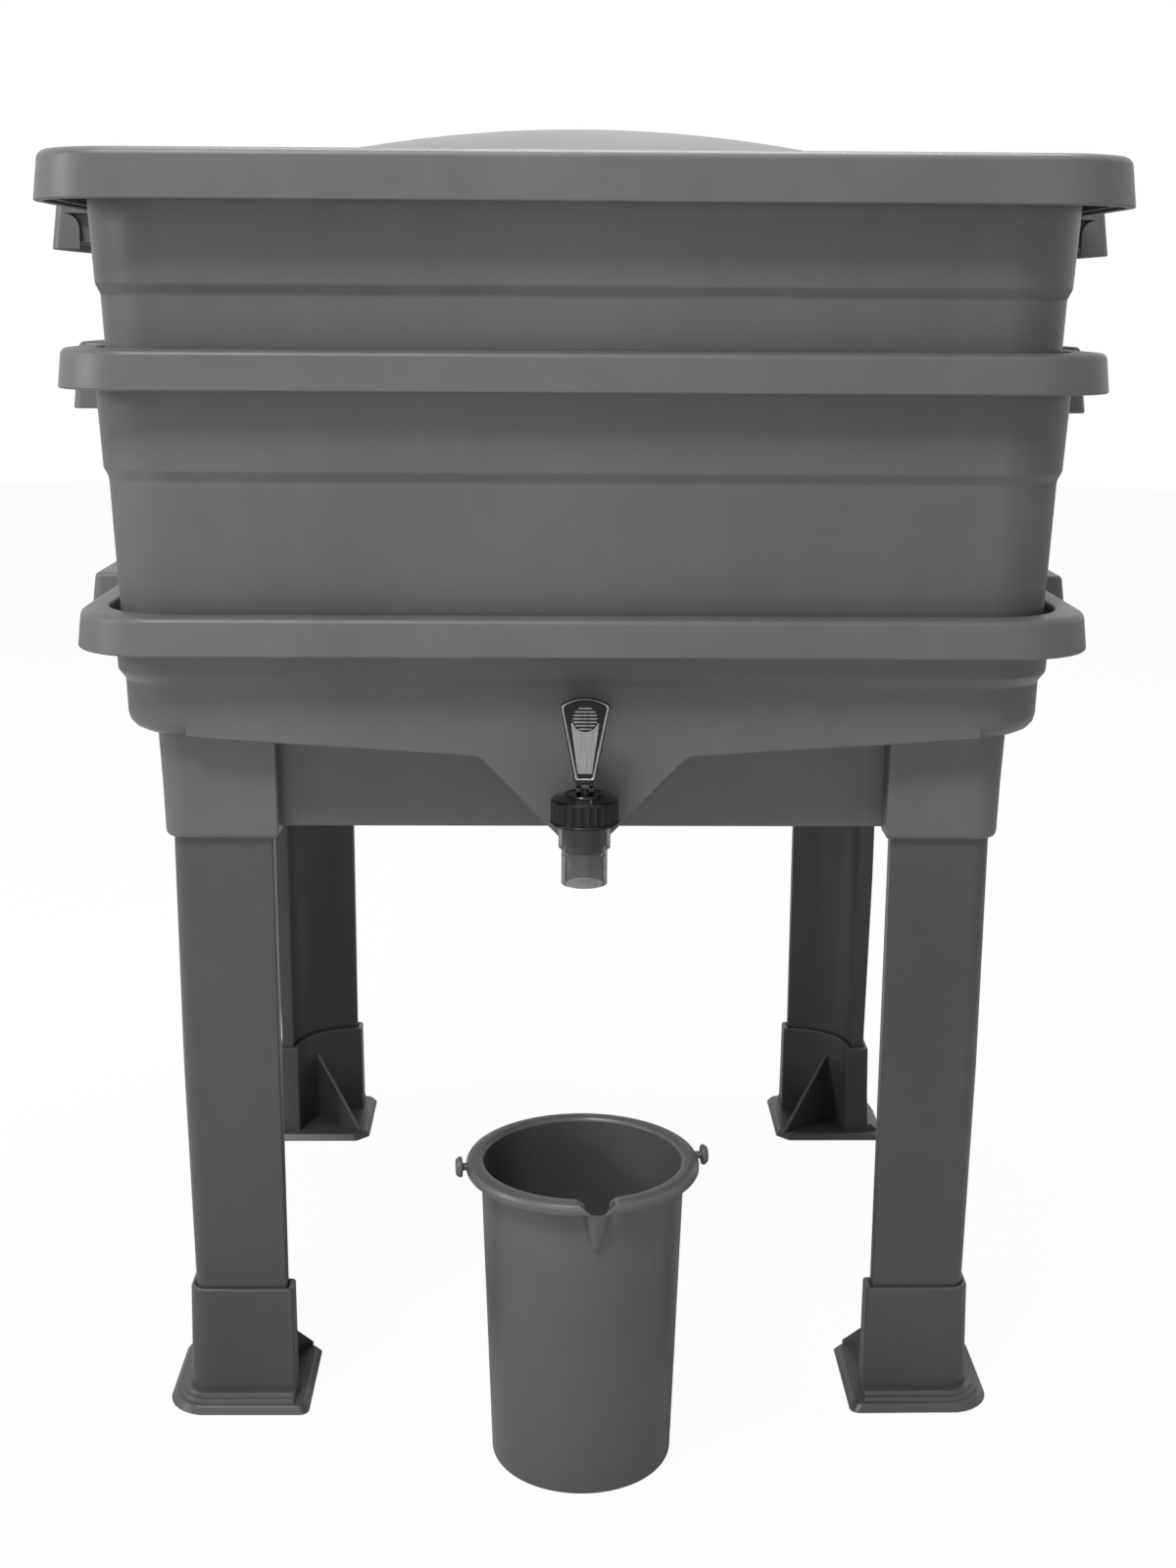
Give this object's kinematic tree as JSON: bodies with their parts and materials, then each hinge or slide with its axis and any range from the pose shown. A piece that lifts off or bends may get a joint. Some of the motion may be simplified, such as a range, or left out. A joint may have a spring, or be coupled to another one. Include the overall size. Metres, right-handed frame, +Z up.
{
  "type": "wormery",
  "caption": "Square stacking worm composter: domed lid and two nesting trays over a tapped liquid collector on corner legs, with a pouring bucket under the tap.",
  "frame": {"origin": "on the floor, at the centre of the square stack, midway between the four feet", "axes": "+Z up, -Y towards the side with the tap and bucket, +X to the right seen from that side"},
  "size_m": [0.5886, 0.5957, 0.7045],
  "materials": {
    "body_plastic": "satin moulded grey",
    "leg_plastic": "satin moulded grey",
    "bucket_plastic": "satin moulded grey",
    "tap_black": "gloss black",
    "tap_smoke": "smoky transparent",
    "nut_plastic": "moulded black",
    "seal_rubber": "matt",
    "pin_steel": "brushed",
    "lever_silver": "satin silver"
  },
  "bodies": {
    "base": {"collector_tray": "body_plastic", "front_left_leg": "leg_plastic", "front_right_leg": "leg_plastic", "rear_left_leg": "leg_plastic", "rear_right_leg": "leg_plastic", "front_left_foot": "leg_plastic", "front_right_foot": "leg_plastic", "rear_left_foot": "leg_plastic", "rear_right_foot": "leg_plastic", "tap_body": "tap_smoke", "tap_cap": "tap_black", "front_washer": "seal_rubber", "rear_washer": "seal_rubber", "back_nut": "nut_plastic"},
    "plunger": {"tap_stem": "nut_plastic", "tap_seal": "seal_rubber", "tap_pin": "pin_steel"},
    "lever": {"tap_lever": "tap_black", "lever_plate": "lever_silver"},
    "lower_tray": {"lower_tray": "body_plastic"},
    "upper_tray": {"upper_tray": "body_plastic"},
    "lid": {"lid": "body_plastic"},
    "bucket": {"bucket": "bucket_plastic"}
  },
  "joints": [
    {"name": "lower_tray_lift", "type": "slide", "parent": "base", "child": "lower_tray", "axis": [0, 0, 1], "range_m": [0, 0.06]},
    {"name": "upper_tray_lift", "type": "slide", "parent": "lower_tray", "child": "upper_tray", "axis": [0, 0, 1], "range_m": [0, 0.09]},
    {"name": "lid_lift", "type": "slide", "parent": "upper_tray", "child": "lid", "axis": [0, 0, 1], "range_m": [0, 0.08]},
    {"name": "bucket_pull", "type": "slide", "parent": "base", "child": "bucket", "axis": [0, -1, 0], "range_m": [0, 0.2]},
    {"name": "stem_slide", "type": "slide", "parent": "base", "child": "plunger", "axis": [0, 0, 1], "range_m": [0, 0.0046]},
    {"name": "lever_hinge", "type": "hinge", "parent": "plunger", "child": "lever", "pos_m": [0, -0.26445, 0.36945], "axis": [1, 0, 0], "range_deg": [0, 75]}
  ],
  "couplings": [
    {"joint": "stem_slide", "follows": "lever_hinge", "m_per_rad": 0.003514}
  ]
}
